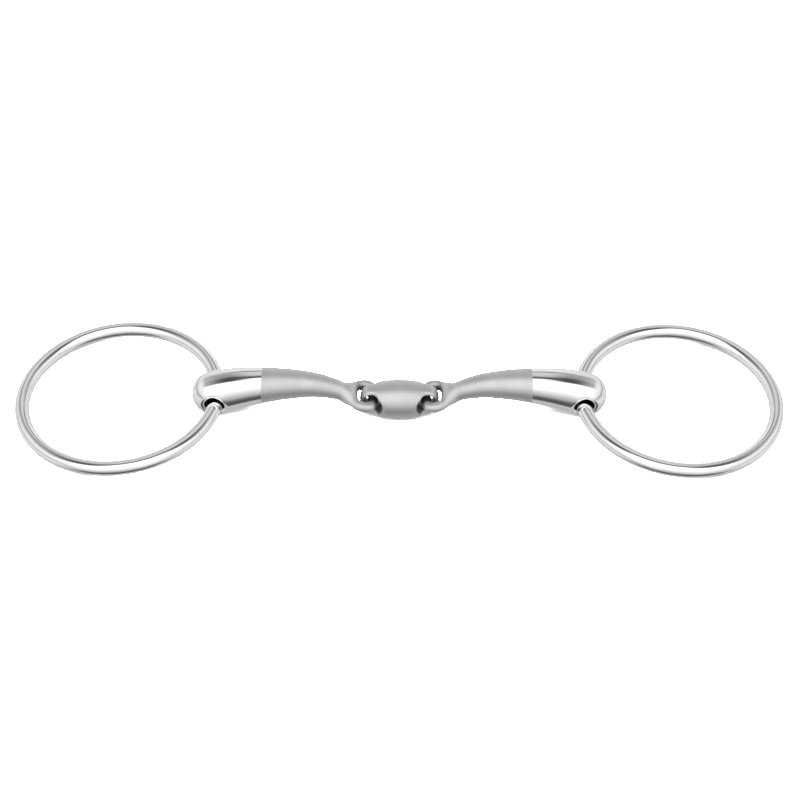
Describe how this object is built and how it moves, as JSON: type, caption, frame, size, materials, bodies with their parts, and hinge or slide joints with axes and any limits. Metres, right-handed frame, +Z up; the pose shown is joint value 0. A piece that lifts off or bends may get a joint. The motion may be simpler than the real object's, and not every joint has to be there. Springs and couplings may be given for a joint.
{
  "type": "snaffle bit",
  "caption": "Loose ring snaffle bit with two curved cannons jointed by an olive centre link, and a round ring at each end for the bridle and reins.",
  "frame": {"origin": "on the surface that the bit lies on, midway between the two rings, under the middle of the box", "axes": "+X along the mouthpiece to the right ring, +Y to the back (away from a viewer in front), +Z up; the bit lies flat as on a bench"},
  "size_m": [0.255, 0.07, 0.0176],
  "materials": {
    "satin_steel": "bead-blasted satin stainless steel",
    "cannon_steel": "satin stainless steel on the inner part, mirror polished from the ring hole to about a third of the length",
    "polished_steel": "mirror polished stainless steel"
  },
  "bodies": {
    "centre_link": {"centre_link": "satin_steel"},
    "left_cannon": {"left_cannon": "cannon_steel"},
    "right_cannon": {"right_cannon": "cannon_steel"},
    "left_ring": {"left_ring": "polished_steel"},
    "right_ring": {"right_ring": "polished_steel"}
  },
  "joints": [
    {"name": "left_fold", "type": "hinge", "parent": "centre_link", "child": "left_cannon", "pos_m": [-0.0087, -0.00276, 0.0079], "axis": [-0.0436, -0.999, 0], "range_deg": [-40, 40]},
    {"name": "right_fold", "type": "hinge", "parent": "centre_link", "child": "right_cannon", "pos_m": [0.0087, -0.00276, 0.0079], "axis": [-0.0436, 0.999, 0], "range_deg": [-40, 40]},
    {"name": "left_ring_swing", "type": "hinge", "parent": "left_cannon", "child": "left_ring", "pos_m": [-0.06055, -0.0005, 0.00735], "axis": [-0.0436, -0.999, 0], "range_deg": [-90, 90]},
    {"name": "right_ring_swing", "type": "hinge", "parent": "right_cannon", "child": "right_ring", "pos_m": [0.06055, -0.0005, 0.00735], "axis": [-0.0436, 0.999, 0], "range_deg": [-90, 90]}
  ]
}
